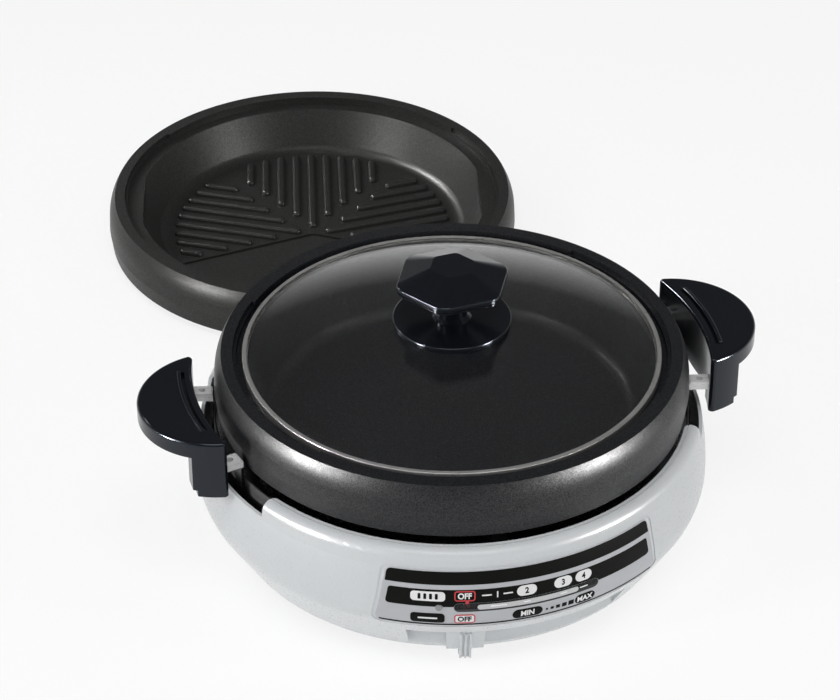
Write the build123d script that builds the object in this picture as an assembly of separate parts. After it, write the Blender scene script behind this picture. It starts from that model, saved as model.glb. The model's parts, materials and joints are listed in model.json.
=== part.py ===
from build123d import *
import math
import os

# An electric skillet with a deep pan, a lift-off glass lid and a second, ridged plate.
# Millimetres. The unit's axis is Z, the front faces -Y, and the table is z = 0.
# Azimuth is measured about Z from the front towards +X.

# Clearances
SEAT_GAP = 0.15
RUN_GAP = 0.06
BODY_GAP = 0.4
SLIDE_GAP = 0.8
CUT_OVER = 1.0

# Heights, from the table up
FOOT_HEIGHT = 9.0
CASE_RISE = 41.0
REFLECTOR_RISE = 10.0
PAN_RISE = 28.0
PAN_HEIGHT = 65.0
CASE_FLOOR_Z = FOOT_HEIGHT + CASE_RISE
REFLECTOR_FLOOR_Z = CASE_FLOOR_Z + REFLECTOR_RISE
PAN_BOTTOM_Z = REFLECTOR_FLOOR_Z + PAN_RISE
PAN_RIM_Z = PAN_BOTTOM_Z + PAN_HEIGHT

# Pan rim, from the lid outwards: both pans share it
LID_RIM_R = 152.0
LID_CLEAR = 4.5
RIM_WIDTH = 10.8
RIM_STEP = 2.5
RIM_STEP_DEPTH = 3.5
RIM_STEP_ANGLE = 38.0
BAND_SWELL = 5.7
BAND_EASE = 0.6
BAND_TUCK = 1.7
BAND_BULGE_DROP = 15.0
CREASE_DROP = 26.7
BAND_DROP = 40.0
BAND_WALL = 3.2
LEDGE_DROP = 7.0
LEDGE_WIDTH = 4.5
PAN_WALL = 4.5
PAN_FLAT_IN = 4.5
PAN_FLAT_TAPER = 3.0
PAN_ROUND = 10.0
RIM_INNER_R = LID_RIM_R + LID_CLEAR
RIM_OUTER_R = RIM_INNER_R + RIM_WIDTH
BAND_R = RIM_OUTER_R + BAND_SWELL
BAND_BULGE_R = BAND_R - BAND_EASE
BAND_BOTTOM_R = BAND_R - BAND_TUCK
LEDGE_INNER_R = LID_RIM_R - LEDGE_WIDTH
PAN_FLAT_X = LEDGE_INNER_R - PAN_FLAT_IN

# Deep pan
PAN_FLOOR_THICK = 4.0
PAN_FLARE = 10.5
PAN_FLOOR_R = LEDGE_INNER_R - PAN_FLARE

# Inner case and reflector, round the pan
CASE_CLEAR = 1.0
CASE_WALL = 1.2
CASE_BEAD_WIDTH = 4.0
CASE_BEAD_DROP = 12.5
REFLECTOR_WALL = 1.0
REFLECTOR_FLARE = 28.0
CASE_R = BAND_R + CASE_CLEAR
CASE_FLOOR_TOP = CASE_FLOOR_Z + CASE_WALL
REFLECTOR_FLOOR_R = CASE_R - REFLECTOR_FLARE
REFLECTOR_TOP = REFLECTOR_FLOOR_Z + REFLECTOR_WALL

# Outer body guard, round the case
GUARD_CLEAR = 14.3
GUARD_WALL = 2.4
SHOULDER_TUCK = 3.7
SHOULDER_DROP = 14.5
LIP_TUCK = 2.2
LIP_DROP = 46.5
LIP_OVERLAP = 2.0
LIP_ROUND = 7.0
LIP_GROOVE_IN = 2.4
LIP_GROOVE_WIDTH = 0.7
BELLY_RISE = 49.0
TAPER_TUCK = 3.3
TAPER_DROP = 14.5
FOOT_TUCK = 24.3
NOTCH_HALF_ANGLE = 27.0
NOTCH_DEPTH = 11.5
NOTCH_ROUND = 4.5
GUARD_BELLY_R = CASE_R + GUARD_CLEAR
GUARD_BELLY_Z = FOOT_HEIGHT + BELLY_RISE
GUARD_SHOULDER_R = GUARD_BELLY_R - SHOULDER_TUCK
LIP_TOP_Z = PAN_RIM_Z - LIP_DROP
GUARD_SHOULDER_Z = LIP_TOP_Z - SHOULDER_DROP
GUARD_TOP_UNDER_Z = LIP_TOP_Z - GUARD_WALL
GUARD_TAPER_R = GUARD_BELLY_R - TAPER_TUCK
GUARD_TAPER_Z = GUARD_BELLY_Z - TAPER_DROP
GUARD_FOOT_R = GUARD_BELLY_R - FOOT_TUCK
LIP_CORNER_R = GUARD_SHOULDER_R - LIP_TUCK
LIP_INNER_R = CASE_R - LIP_OVERLAP
LIP_GROOVE_R = LIP_INNER_R + LIP_GROOVE_IN
NOTCH_Z = LIP_TOP_Z - NOTCH_DEPTH
CASE_BEAD_Z = LIP_TOP_Z - CASE_BEAD_DROP

# Control panel, indicator window and lamp
PANEL_TOP_RISE = 1.0
PANEL_HEIGHT = 46.5
PANEL_TOP_ANGLE = 31.0
PANEL_BOTTOM_ANGLE = 33.4
PANEL_ROUND = 5.0
PANEL_THICK = 0.8
PANEL_RECESS = 0.5
PANEL_MARGIN = 2.5
WINDOW_RISE = 17.2
WINDOW_HEIGHT = 7.0
WINDOW_ANGLE = 16.2
LAMP_R = 2.4
LAMP_AZIMUTH = -19.4
LAMP_LENGTH = 9.0
PANEL_TOP_Z = GUARD_SHOULDER_Z + PANEL_TOP_RISE
PANEL_BOTTOM_Z = PANEL_TOP_Z - PANEL_HEIGHT
WINDOW_Z = PANEL_BOTTOM_Z + WINDOW_RISE

# Temperature lever: an arm under the base, a slider in the skirt's recess and a pointer inside
LEVER_AZIMUTH = -13.4
LEVER_TRAVEL = 26.8
LEVER_ARM_DROP = 4.5
LEVER_ARM_THICK = 3.0
LEVER_ARM_WIDTH = 9.0
LEVER_HUB_R = 10.0
SHAFT_R = 4.0
SHAFT_SEAT = 8.0
CLIP_R = 7.0
CLIP_THICK = 1.4
RECESS_INSET = 3.0
RECESS_HEIGHT = 25.2
RECESS_WALL = 2.0
RECESS_MARGIN = 13.6
SHIELD_ANGLE = 4.45
SHIELD_RISE = 2.0
SHIELD_FOOT_THICK = 1.6
SHIELD_HEAD_THICK = 10.6
TAB_WIDTH = 8.4
TAB_FOOT_DEPTH = 4.2
TAB_HEAD_DEPTH = 11.6
TAB_DROP = 2.2
FIN_COUNT = 3
FIN_DEPTH = 1.4
POINTER_ARM_RISE = 15.0
POINTER_WIDTH = 4.0
POINTER_THICK = 2.0
POINTER_ROOT_IN = 8.0
POINTER_LINK_RISE = 5.8
POINTER_CLEAR = 1.2
LEVER_ARM_Z = FOOT_HEIGHT - LEVER_ARM_DROP
RECESS_R = GUARD_FOOT_R + RECESS_INSET
RECESS_TOP_Z = FOOT_HEIGHT + RECESS_HEIGHT
SLIDER_R = RECESS_R + SLIDE_GAP
SHIELD_BOTTOM_Z = FOOT_HEIGHT + SHIELD_RISE
TAB_FOOT_R = SLIDER_R + TAB_FOOT_DEPTH
TAB_HEAD_R = SLIDER_R + TAB_HEAD_DEPTH
TAB_TOP_Z = RECESS_TOP_Z - TAB_DROP
POINTER_ARM_Z = FOOT_HEIGHT + POINTER_ARM_RISE
POINTER_ARM_TOP = POINTER_ARM_Z + LEVER_ARM_THICK
POINTER_ROOT_R = GUARD_FOOT_R - POINTER_ROOT_IN
POINTER_LINK_Z = RECESS_TOP_Z + POINTER_LINK_RISE

# Bottom plate, feet and screws
BOTTOM_THICK = 1.6
BOTTOM_GAP = 0.3
FOOT_R = 10.0
FOOT_ROUND = 1.5
FOOT_IN = 26.0
FOOT_ANGLE = 45.0
FOOT_PLUG_R = 5.0
FOOT_PLUG_LIP = 1.2
POST_IN = 26.0
POST_R = 6.0
SCREW_R = 2.0
SCREW_HEAD_R = 4.0
SCREW_HEAD_THICK = 2.4
SCREW_LENGTH = 16.0
VENT_COUNT = 24
VENT_IN = 28.0
VENT_LENGTH = 26.0
VENT_WIDTH = 4.0
FOOT_RING_R = GUARD_FOOT_R - FOOT_IN
POST_RING_R = FOOT_RING_R - POST_IN
VENT_RING_R = POST_RING_R - VENT_IN
PLATE_TOP_Z = FOOT_HEIGHT + BOTTOM_THICK
CORNER_ANGLES = [FOOT_ANGLE, 180.0 - FOOT_ANGLE, 180.0 + FOOT_ANGLE, 360.0 - FOOT_ANGLE]

# Heating element, its brackets and insulators
HEATER_RING_R = 100.0
HEATER_TUBE_R = 4.0
HEATER_OPEN_ANGLE = 20.0
HEATER_BEND_R = 10.0
HEATER_TAIL = 8.0
BRACKET_WIDTH = 12.0
BRACKET_LENGTH = 38.0
BRACKET_COUNT = 3
INSULATOR_WALL = 3.35
HEATER_Z = PAN_BOTTOM_Z - BODY_GAP - HEATER_TUBE_R
HEATER_END_Z = CASE_FLOOR_Z - HEATER_TAIL
INSULATOR_R = HEATER_TUBE_R + SEAT_GAP + INSULATOR_WALL

# Sensor button in the middle
BUTTON_R = 13.0
BUTTON_THICK = 5.0
BUTTON_ROUND = 1.0
STEM_R = 5.0
SPRING_WALL = 2.4
SLEEVE_SPACE = 5.0
SLEEVE_WALL = 1.5
SLEEVE_FLOOR = 4.0
SENSOR_TRAVEL = 3.0
SLEEVE_R = STEM_R + SLEEVE_SPACE + SLEEVE_WALL
BUTTON_TOP_Z = PAN_BOTTOM_Z - BODY_GAP
SLEEVE_TOP = BUTTON_TOP_Z - BUTTON_THICK - SENSOR_TRAVEL - BODY_GAP

# Thermostat block
THERMOSTAT_X = 46.0
THERMOSTAT_Y = 36.0
THERMOSTAT_HEIGHT = 14.0
THERMOSTAT_Z = CASE_FLOOR_Z - THERMOSTAT_HEIGHT
CLIP_LOW_Z = LEVER_ARM_Z - CLIP_THICK

# Rear power inlet and inner leads
INLET_WIDTH = 52.0
INLET_HEIGHT = 24.0
INLET_RISE = 27.0
INLET_DEPTH = 26.0
INLET_PROUD = 2.0
INLET_WALL = 2.5
INLET_CAVITY = 14.0
PIN_R = 2.4
PIN_SPACING = 20.0
PIN_TAIL = 6.0
LEAD_R = 1.6
LEAD_BEND_R = 5.0
LEAD_DROP = 10.0
INLET_Z = FOOT_HEIGHT + INLET_RISE

# Handles, straps and their screws
HANDLE_CLEAR = 0.2
HANDLE_DEPTH = 43.5
HANDLE_DROP = 10.0
HANDLE_THICK = 13.0
HANDLE_SKIN = 5.0
HANDLE_SIDE_WALL = 4.0
HANDLE_ROUND = 2.6
HANDLE_TIP_ROUND = 3.0
LEG_HEIGHT = 33.0
LEG_INNER_Y = 37.0
LEG_WIDTH = 20.5
LEG_DEPTH = 16.5
LEG_STEP = 3.0
LEG_STEP_RISE = 5.0
SKIRT_THICK = 3.0
SKIRT_DROP = 31.0
SKIRT_END_DROP = 18.0
GROOVE_IN = 5.4
GROOVE_WIDTH = 2.4
GROOVE_DEPTH = 3.0
GROOVE_ANGLE = 11.0
RIB_WIDTH = 3.2
RIB_RISE = 1.4
STRAP_INSET = 10.0
STRAP_WIDTH = 10.0
STRAP_THICK = 2.0
STRAP_DROP = 10.5
STRAP_LEG = 53.5
STRAP_REACH = 10.0
FLANGE_DEPTH = 4.5
FLANGE_THICK = 1.5
STRAP_HOLE_R = 2.4
STRAP_HOLE_OUT = 8.0
HANDLE_SCREW_IN = 6.0
HANDLE_SCREW_LENGTH = 14.0
HANDLE_INNER_R = GUARD_BELLY_R + HANDLE_CLEAR
HANDLE_REACH = HANDLE_INNER_R + HANDLE_DEPTH
HANDLE_HALF_LENGTH = LEG_INNER_Y + LEG_WIDTH
HANDLE_TOP_Z = PAN_RIM_Z - HANDLE_DROP
HANDLE_LOW_Z = HANDLE_TOP_Z - HANDLE_THICK
LEG_BOTTOM_Z = HANDLE_LOW_Z - LEG_HEIGHT
LEG_OUTER_X = HANDLE_INNER_R + LEG_DEPTH
GROOVE_R = HANDLE_INNER_R + GROOVE_IN
HANDLE_SCREW_PLACE_R = HANDLE_INNER_R + HANDLE_SCREW_IN
STRAP_ANGLE = math.degrees(math.asin((LEG_INNER_Y + STRAP_INSET) / HANDLE_SCREW_PLACE_R))
STRAP_TOP_Z = HANDLE_LOW_Z - STRAP_DROP
STRAP_LOW_Z = STRAP_TOP_Z - STRAP_THICK
STRAP_FOOT_Z = STRAP_LOW_Z - STRAP_LEG
STRAP_END_R = HANDLE_INNER_R + STRAP_REACH
STRAP_HOLE_PLACE_R = CASE_R + STRAP_HOLE_OUT
HANDLE_SCREW_Z = STRAP_LOW_Z - HANDLE_SCREW_LENGTH / 2
HANDLE_SIDES = {"left": 180.0, "right": 0.0}

# Grill plate, which lies on the table behind the unit
GRILL_HEIGHT = 46.0
GRILL_FLOOR_THICK = 7.0
GRILL_FLARE = 19.5
GRILL_GAP = 46.7
GRILL_TURN = -13.8
RIDGE_WIDTH = 7.0
RIDGE_HEIGHT = 3.6
RIDGE_ROUND = 2.7
RIDGE_PITCH = 13.4
RIDGE_STOP = 10.0
RIDGE_SHORTEST = 20.0
RIDGE_START = 11.0
RIDGE_APEX_Y = -10.4
RIDGE_FAN_ANGLE = 74.0
RIDGE_HALF_ANGLE = 37.0
DIVIDER_WIDTH = 3.8
DIVIDER_DEPTH = 1.8
GRILL_BEHIND = GUARD_BELLY_R + BAND_R + GRILL_GAP
GRILL_FLOOR_R = LEDGE_INNER_R - GRILL_FLARE
RIDGE_END_R = GRILL_FLOOR_R - RIDGE_STOP

# Lid glass and rim
LID_RIM_WIDTH = 3.2
LID_FLANGE = 5.0
LID_SHEET = 0.8
GLASS_THICK = 4.0
GLASS_DOME = 26.0
LID_SEAT_Z = PAN_RIM_Z - LEDGE_DROP
GLASS_LOW = LID_SEAT_Z + LID_SHEET + SEAT_GAP
GLASS_EDGE_TOP = GLASS_LOW + GLASS_THICK
GLASS_EDGE_R = LID_RIM_R - LID_SHEET - SEAT_GAP
GLASS_DOME_R = LID_RIM_R - LID_RIM_WIDTH - LID_SHEET
GLASS_APEX = GLASS_EDGE_TOP + GLASS_DOME
GLASS_SPHERE_R = (GLASS_DOME_R**2 + GLASS_DOME**2) / (2 * GLASS_DOME)

# Knob
KNOB_DISC_R = 42.8
KNOB_DISC_THICK = 2.9
KNOB_DISC_ROUND = 1.0
KNOB_NECK_R = 11.0
KNOB_FOOT_R = 14.0
KNOB_FLARE_R = 19.0
KNOB_FLARE_DROP = 8.5
KNOB_NECK_HEIGHT = 26.7
KNOB_EDGE_THICK = 6.0
KNOB_CROWN = 10.4
KNOB_CORNER_R = 43.2
KNOB_PLATEAU_R = 17.0
KNOB_CORNER_ROUND = 12.0
KNOB_EDGE_ROUND = 1.2
KNOB_SEAM = 0.8
KNOB_SEAM_RISE = 2.0
KNOB_TURN = 3.0
KNOB_SCREW_R = 3.0
KNOB_SCREW_HEAD_R = 7.0
KNOB_SCREW_HEAD_THICK = 3.0
KNOB_SCREW_GRIP = 14.0
GLASS_HOLE_PLAY = 1.5
WASHER_R = 13.0
WASHER_THICK = 2.0
GLASS_HOLE_R = KNOB_SCREW_R + GLASS_HOLE_PLAY
KNOB_DISC_LOW = GLASS_APEX + SEAT_GAP
KNOB_DISC_TOP_Z = KNOB_DISC_LOW + KNOB_DISC_THICK
KNOB_EDGE_Z = KNOB_DISC_TOP_Z + KNOB_NECK_HEIGHT
KNOB_EDGE_TOP_Z = KNOB_EDGE_Z + KNOB_EDGE_THICK
KNOB_SEAM_Z = KNOB_EDGE_Z + KNOB_SEAM_RISE
KNOB_TOP_Z = KNOB_EDGE_TOP_Z + KNOB_CROWN
KNOB_FLARE_Z = KNOB_EDGE_Z - KNOB_FLARE_DROP
KNOB_SCREW_TOP = KNOB_DISC_TOP_Z + KNOB_SCREW_GRIP


def bearing(radius, azimuth, z=0.0):
    """A point at an azimuth from the front."""
    turn = math.radians(azimuth)
    return Vector(radius * math.sin(turn), -radius * math.cos(turn), z)


def region(*edges):
    """The closed face inside a loop of edges drawn as (radius, height)."""
    return make_face(Curve() + list(edges))


def spin(face):
    """A full turn of a (radius, height) face about the axis."""
    return revolve(Plane.XZ * face, Axis.Z)


def lathe(*points):
    return spin(region(Polyline(*points, close=True)))


def tube(outer, inner, low, high):
    return lathe((inner, low), (outer, low), (outer, high), (inner, high))


def disc(radius, low, high):
    return Pos(0, 0, low) * extrude(Circle(radius), high - low)


def block(x, y, low, high):
    return Pos(0, 0, (low + high) / 2) * Box(x, y, high - low)


def sector(inner, outer, low, high, start, stop):
    """A ring segment between two azimuths."""
    face = region(Polyline((inner, low), (outer, low), (outer, high), (inner, high), close=True))
    turned = revolve(Plane.XZ * face, Axis.Z, stop - start)
    return Rot(0, 0, start - 90.0) * turned


def facing(azimuth):
    """Turns a piece drawn at the front to an azimuth."""
    return Rot(0, 0, azimuth)


def guard_form(grow=0.0):
    """The guard's outer form as a solid of revolution, grown or shrunk in radius."""
    top = LIP_TOP_Z + min(grow, 0.0)
    low = (GUARD_FOOT_R + grow, FOOT_HEIGHT)
    taper = (GUARD_TAPER_R + grow, GUARD_TAPER_Z)
    belly = (GUARD_BELLY_R + grow, GUARD_BELLY_Z)
    shoulder = (GUARD_SHOULDER_R + grow, GUARD_SHOULDER_Z)
    corner = (LIP_CORNER_R + grow, top)
    face = region(
        Line((0, FOOT_HEIGHT), low),
        Line(low, taper),
        TangentArc(belly, taper, tangent=(0, -1)),
        TangentArc(belly, shoulder, tangent=(0, 1)),
        Line(shoulder, corner),
        Line(corner, (0, top)),
        Line((0, top), (0, FOOT_HEIGHT)),
    )
    crown = face.vertices().sort_by_distance(Vector(*corner, 0))[:1]
    return spin(fillet(crown, LIP_ROUND + min(grow, 0.0)))


def guard_radius(z):
    """The guard's outer radius on its straight taper."""
    slope = (GUARD_TAPER_R - GUARD_FOOT_R) / (GUARD_TAPER_Z - FOOT_HEIGHT)
    return GUARD_FOOT_R + (z - FOOT_HEIGHT) * slope


def panel_prism(margin):
    """The panel's outline seen from the front, run through the front half."""
    top_x = GUARD_SHOULDER_R * math.sin(math.radians(PANEL_TOP_ANGLE)) + margin
    low_x = GUARD_BELLY_R * math.sin(math.radians(PANEL_BOTTOM_ANGLE)) + margin
    top = PANEL_TOP_Z + margin
    low = PANEL_BOTTOM_Z - margin
    outline = make_face(Polyline((-low_x, low), (low_x, low), (top_x, top), (-top_x, top), close=True))
    rounded = fillet(outline.vertices(), PANEL_ROUND + margin)
    return extrude(Plane.XZ * rounded, GUARD_BELLY_R * 2)


def window_prism(margin):
    """The indicator window's outline seen from the front, run through the front half."""
    half = GUARD_BELLY_R * math.sin(math.radians(WINDOW_ANGLE)) + margin
    pill = SlotOverall(2 * half, WINDOW_HEIGHT + 2 * margin)
    return extrude(Plane.XZ * (Pos(0, WINDOW_Z) * pill), GUARD_BELLY_R * 2)


def lamp_bore(radius):
    """The lamp's barrel, run inwards from the panel's face."""
    mouth = bearing(GUARD_BELLY_R + PANEL_THICK, LAMP_AZIMUTH, WINDOW_Z)
    axis = Plane(mouth, z_dir=bearing(-1, LAMP_AZIMUTH))
    return extrude(axis * Circle(radius), LAMP_LENGTH)


def lever_span(margin):
    """The azimuths between which the lever moves, with a margin in degrees."""
    return LEVER_AZIMUTH - margin, LEVER_AZIMUTH + LEVER_TRAVEL + margin


def lip_piece(middle):
    """The plan of one kept stretch of lip, with rounded ends, run up from the notch floor."""
    half = 90.0 - NOTCH_HALF_ANGLE
    inner = LIP_INNER_R
    outer = GUARD_BELLY_R
    start, mid, stop = (middle - half, middle, middle + half)
    plan = make_face(Curve() + [
        ThreePointArc(bearing(inner, start), bearing(inner, mid), bearing(inner, stop)),
        Line(bearing(inner, stop), bearing(outer, stop)),
        ThreePointArc(bearing(outer, stop), bearing(outer, mid), bearing(outer, start)),
        Line(bearing(outer, start), bearing(inner, start)),
    ])
    return Pos(0, 0, NOTCH_Z) * extrude(fillet(plan.vertices(), NOTCH_ROUND), LIP_TOP_Z)


INLET_REAR_Y = guard_radius(INLET_Z) + INLET_PROUD
INLET_BACK_Y = INLET_REAR_Y - INLET_DEPTH


def inlet_block(margin, rear):
    """The power inlet's box, set into the back of the guard."""
    middle = Pos(0, (INLET_BACK_Y + rear) / 2, INLET_Z)
    return middle * Box(INLET_WIDTH + 2 * margin, rear - INLET_BACK_Y, INLET_HEIGHT + 2 * margin)


def body_guard():
    """The outer shell with its lip, side notches, panel bed, lever recess and openings."""
    above = LIP_TOP_Z + CUT_OVER
    shell = guard_form() - guard_form(-GUARD_WALL) - disc(LIP_INNER_R, GUARD_SHOULDER_Z, above)
    band = tube(GUARD_BELLY_R, LIP_INNER_R - CUT_OVER, NOTCH_Z, above)
    shell -= band - lip_piece(0.0) - lip_piece(180.0)
    groove_low = LIP_TOP_Z - LIP_GROOVE_WIDTH
    shell -= tube(LIP_GROOVE_R + LIP_GROOVE_WIDTH, LIP_GROOVE_R, groove_low, above)
    shell -= (guard_form() - guard_form(-PANEL_RECESS)) & panel_prism(PANEL_MARGIN)
    start, stop = lever_span(RECESS_MARGIN)
    wall_angle = math.degrees(RECESS_WALL / RECESS_R)
    wall = sector(RECESS_R - RECESS_WALL, GUARD_BELLY_R, FOOT_HEIGHT, RECESS_TOP_Z + RECESS_WALL,
                  start - wall_angle, stop + wall_angle)
    shell += wall & guard_form()
    shell -= sector(RECESS_R, GUARD_BELLY_R, FOOT_HEIGHT, RECESS_TOP_Z, start, stop)
    shell -= window_prism(SEAT_GAP)
    shell -= lamp_bore(LAMP_R + SEAT_GAP)
    return shell - inlet_block(SEAT_GAP, GUARD_BELLY_R)


def control_panel():
    skin = guard_form(PANEL_THICK - PANEL_RECESS) - guard_form(-PANEL_RECESS)
    plate = skin & panel_prism(0.0)
    return plate - window_prism(SEAT_GAP) - lamp_bore(LAMP_R + SEAT_GAP)


def indicator_window():
    skin = guard_form(PANEL_THICK - PANEL_RECESS) - guard_form(-GUARD_WALL)
    return skin & window_prism(0.0)


def pilot_lamp():
    return lamp_bore(LAMP_R)


def around(radius, angles):
    """Places on a circle, given by azimuth."""
    return [Pos(*bearing(radius, angle)) for angle in angles]


def bottom_plate():
    plate = disc(GUARD_FOOT_R - GUARD_WALL - BOTTOM_GAP, FOOT_HEIGHT, PLATE_TOP_Z)
    above = PLATE_TOP_Z + CUT_OVER
    plug_hole = disc(FOOT_PLUG_R + SEAT_GAP, 0, above)
    screw_hole = disc(SCREW_R + SEAT_GAP, 0, above)
    slot = Pos(VENT_RING_R, 0, 0) * extrude(SlotOverall(VENT_LENGTH, VENT_WIDTH), above)
    feet = [place * plug_hole for place in around(FOOT_RING_R, CORNER_ANGLES)]
    screws = [place * screw_hole for place in around(POST_RING_R, CORNER_ANGLES)]
    vents = []
    for index in range(VENT_COUNT):
        vents.append(Rot(0, 0, (index + 0.5) * 360.0 / VENT_COUNT) * slot)
    return plate - feet - screws - vents - disc(SHAFT_R + BODY_GAP, 0, above)


def foot():
    pad = disc(FOOT_R, 0, FOOT_HEIGHT)
    pad = fillet(pad.edges().group_by(Axis.Z)[0], FOOT_ROUND)
    plug = disc(FOOT_PLUG_R, FOOT_HEIGHT, PLATE_TOP_Z)
    lip = disc(FOOT_PLUG_R + FOOT_PLUG_LIP, PLATE_TOP_Z, PLATE_TOP_Z + FOOT_PLUG_LIP)
    return pad + plug + lip


def posts():
    post = disc(POST_R, PLATE_TOP_Z, CASE_FLOOR_Z)
    post -= disc(SCREW_R, PLATE_TOP_Z, FOOT_HEIGHT + SCREW_LENGTH)
    return [place * post for place in around(POST_RING_R, CORNER_ANGLES)]


def bottom_screws():
    head = disc(SCREW_HEAD_R, FOOT_HEIGHT - SCREW_HEAD_THICK, FOOT_HEIGHT)
    screw = head + disc(SCREW_R, FOOT_HEIGHT, FOOT_HEIGHT + SCREW_LENGTH)
    return [place * screw for place in around(POST_RING_R, CORNER_ANGLES)]


def heater_legs_xy():
    turn = math.radians(HEATER_OPEN_ANGLE)
    x = HEATER_RING_R * math.sin(turn) - HEATER_BEND_R * math.cos(turn)
    y = HEATER_RING_R * math.cos(turn) + HEATER_BEND_R * math.sin(turn)
    return [Pos(x, y, 0), Pos(-x, y, 0)]


def inner_case():
    inside = CASE_R - CASE_WALL
    bowl = disc(CASE_R, CASE_FLOOR_Z, GUARD_TOP_UNDER_Z) - disc(inside, CASE_FLOOR_TOP, LIP_TOP_Z)
    bead = tube(inside, inside - CASE_BEAD_WIDTH, CASE_BEAD_Z - CASE_WALL, CASE_BEAD_Z)
    legs = [place * disc(INSULATOR_R, 0, LIP_TOP_Z) for place in heater_legs_xy()]
    return bowl + bead - disc(SLEEVE_R + SEAT_GAP, 0, LIP_TOP_Z) - legs


def reflector():
    rim = CASE_R - CASE_WALL - SEAT_GAP
    inner = CASE_R - CASE_WALL - CASE_BEAD_WIDTH - SEAT_GAP
    top = CASE_BEAD_Z + REFLECTOR_WALL
    dish = lathe(
        (0, REFLECTOR_FLOOR_Z),
        (REFLECTOR_FLOOR_R, REFLECTOR_FLOOR_Z),
        (inner, CASE_BEAD_Z),
        (rim, CASE_BEAD_Z),
        (rim, top),
        (inner - REFLECTOR_WALL, top),
        (REFLECTOR_FLOOR_R - REFLECTOR_WALL, REFLECTOR_TOP),
        (0, REFLECTOR_TOP),
    )
    legs = [place * disc(INSULATOR_R, 0, LIP_TOP_Z) for place in heater_legs_xy()]
    return dish - disc(SLEEVE_R + SEAT_GAP, 0, LIP_TOP_Z) - legs


def heater():
    half = 180.0 - HEATER_OPEN_ANGLE
    ring = CenterArc((0, 0, HEATER_Z), HEATER_RING_R, 90.0 + HEATER_OPEN_ANGLE, 2 * half)
    edges = [ring]
    for end, heading in ((ring @ 0, -(ring % 0)), (ring @ 1, ring % 1)):
        low = end + heading * HEATER_BEND_R - Vector(0, 0, HEATER_BEND_R)
        edges.append(TangentArc(end, low, tangent=heading))
        edges.append(Line(low, Vector(low.X, low.Y, HEATER_END_Z)))
    path = Wire(edges)
    start = Plane(path @ 0, z_dir=path % 0)
    return sweep(start * Circle(HEATER_TUBE_R), path)


def heater_bracket(index):
    """A support under the pan with a channel that holds the heating tube."""
    post = Pos(HEATER_RING_R, 0, 0) * block(BRACKET_LENGTH, BRACKET_WIDTH, REFLECTOR_TOP, PAN_BOTTOM_Z)
    width = 2 * HEATER_TUBE_R + SEAT_GAP
    seat = Pos(HEATER_RING_R, HEATER_Z) * Rectangle(width, width)
    mouth = Pos(HEATER_RING_R, PAN_BOTTOM_Z) * Rectangle(width, width)
    post -= spin(seat + mouth)
    return Rot(0, 0, -90.0 + index * 360.0 / BRACKET_COUNT) * post


def insulators():
    low = CASE_FLOOR_Z - REFLECTOR_WALL
    ring = tube(INSULATOR_R, HEATER_TUBE_R + SEAT_GAP, low, REFLECTOR_TOP + REFLECTOR_WALL)
    return [place * ring for place in heater_legs_xy()]


def sensor_sleeve():
    cup = disc(SLEEVE_R, CASE_FLOOR_Z, SLEEVE_TOP)
    cup -= disc(SLEEVE_R - SLEEVE_WALL, CASE_FLOOR_Z + SLEEVE_FLOOR, SLEEVE_TOP)
    return cup - disc(STEM_R + RUN_GAP, CASE_FLOOR_Z, SLEEVE_TOP)


def sensor_spring():
    inner = STEM_R + BODY_GAP
    low = CASE_FLOOR_Z + SLEEVE_FLOOR
    return tube(inner + SPRING_WALL, inner, low, SLEEVE_TOP)


def sensor_button():
    low = BUTTON_TOP_Z - BUTTON_THICK
    cap = disc(BUTTON_R, low, BUTTON_TOP_Z)
    cap = fillet(cap.edges().group_by(Axis.Z)[-1], BUTTON_ROUND)
    return cap + disc(STEM_R, CASE_FLOOR_Z, low)


def thermostat():
    """A block under the case, with a bore for the sensor's stem above and the lever's shaft below."""
    case = block(THERMOSTAT_X, THERMOSTAT_Y, THERMOSTAT_Z, CASE_FLOOR_Z)
    case -= disc(STEM_R + BODY_GAP, CASE_FLOOR_Z - SENSOR_TRAVEL - BODY_GAP, CASE_FLOOR_Z)
    return case - disc(SHAFT_R + RUN_GAP, THERMOSTAT_Z, THERMOSTAT_Z + SHAFT_SEAT)


def lever_shaft():
    return disc(SHAFT_R, CLIP_LOW_Z - CLIP_THICK, THERMOSTAT_Z + SHAFT_SEAT - BODY_GAP)


def shaft_clip():
    return tube(CLIP_R, SHAFT_R, CLIP_LOW_Z, LEVER_ARM_Z)


def arm(low, reach):
    """A flat strip from a hub on the shaft, at the lever's azimuth."""
    high = low + LEVER_ARM_THICK
    strip = Pos(0, -reach / 2, 0) * block(LEVER_ARM_WIDTH, reach, low, high)
    return facing(LEVER_AZIMUTH) * (disc(LEVER_HUB_R, low, high) + strip - disc(SHAFT_R, low, high))


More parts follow.
